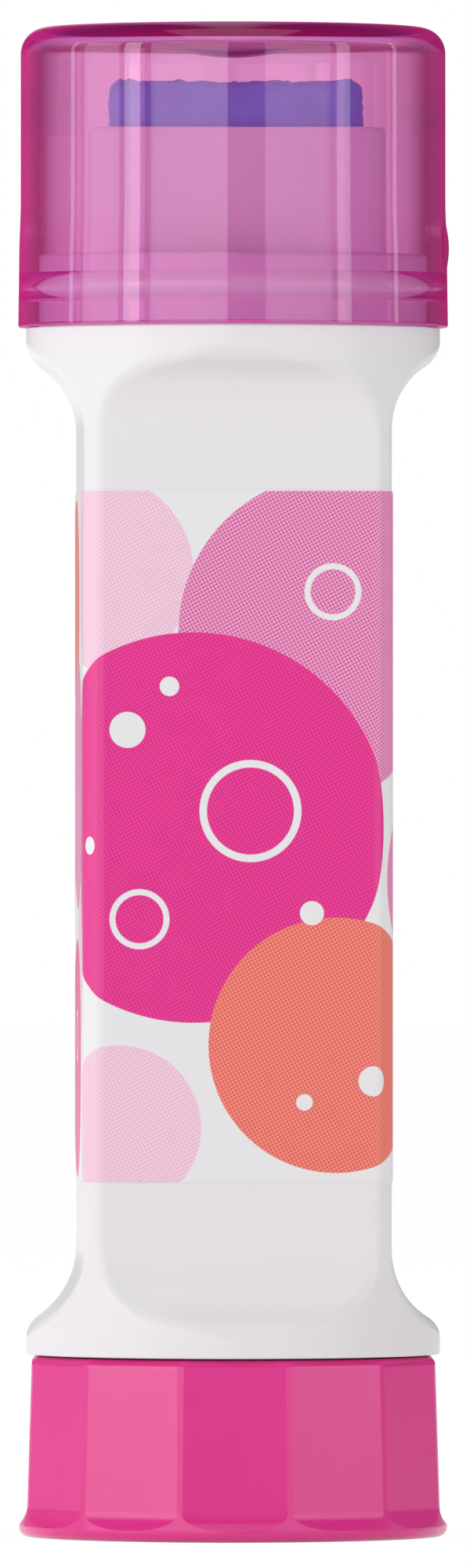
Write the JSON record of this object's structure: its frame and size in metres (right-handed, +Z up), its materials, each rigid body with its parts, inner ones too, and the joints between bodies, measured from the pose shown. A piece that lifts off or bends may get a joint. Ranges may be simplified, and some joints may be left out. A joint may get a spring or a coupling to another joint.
{
  "type": "glue stick",
  "caption": "Square glue stick standing on its twist knob: white barrel with a wrap label, see-through dished cap, screw-driven carrier and glue block.",
  "frame": {"origin": "centre of the knob's foot, on the surface that the stick stands on", "axes": "+Z up along the stick, from the knob to the cap; the barrel's four flats face +X, -X, +Y and -Y; -Y is the front"},
  "size_m": [0.0289, 0.0288, 0.1011],
  "materials": {
    "barrel_plastic": "smooth white moulding, semi gloss",
    "label_film": "printed wrap film, halftone dots",
    "cap_plastic": "transparent magenta moulding, high gloss",
    "knob_plastic": "opaque magenta moulding, semi gloss",
    "inner_plastic": "plain white moulding",
    "glue": "soft waxy violet-blue glue"
  },
  "bodies": {
    "barrel": {"barrel": "barrel_plastic", "label": "label_film"},
    "cap": {"cap": "cap_plastic"},
    "knob": {"knob": "knob_plastic", "spindle": "inner_plastic"},
    "carrier": {"carrier": "inner_plastic", "glue": "glue"}
  },
  "joints": [
    {"name": "cap_lift", "type": "slide", "parent": "barrel", "child": "cap", "axis": [0, 0, 1], "range_m": [0, 0.03]},
    {"name": "knob_turn", "type": "hinge", "parent": "barrel", "child": "knob", "pos_m": [0, 0, 0], "axis": [0, 0, -1], "range_deg": [-288.4, 54.4]},
    {"name": "carrier_slide", "type": "slide", "parent": "barrel", "child": "carrier", "axis": [0, 0, 1], "range_m": [-0.0048, 0.0009]}
  ],
  "couplings": [
    {"joint": "knob_turn", "follows": "carrier_slide", "rad_per_m": 1047.2}
  ]
}
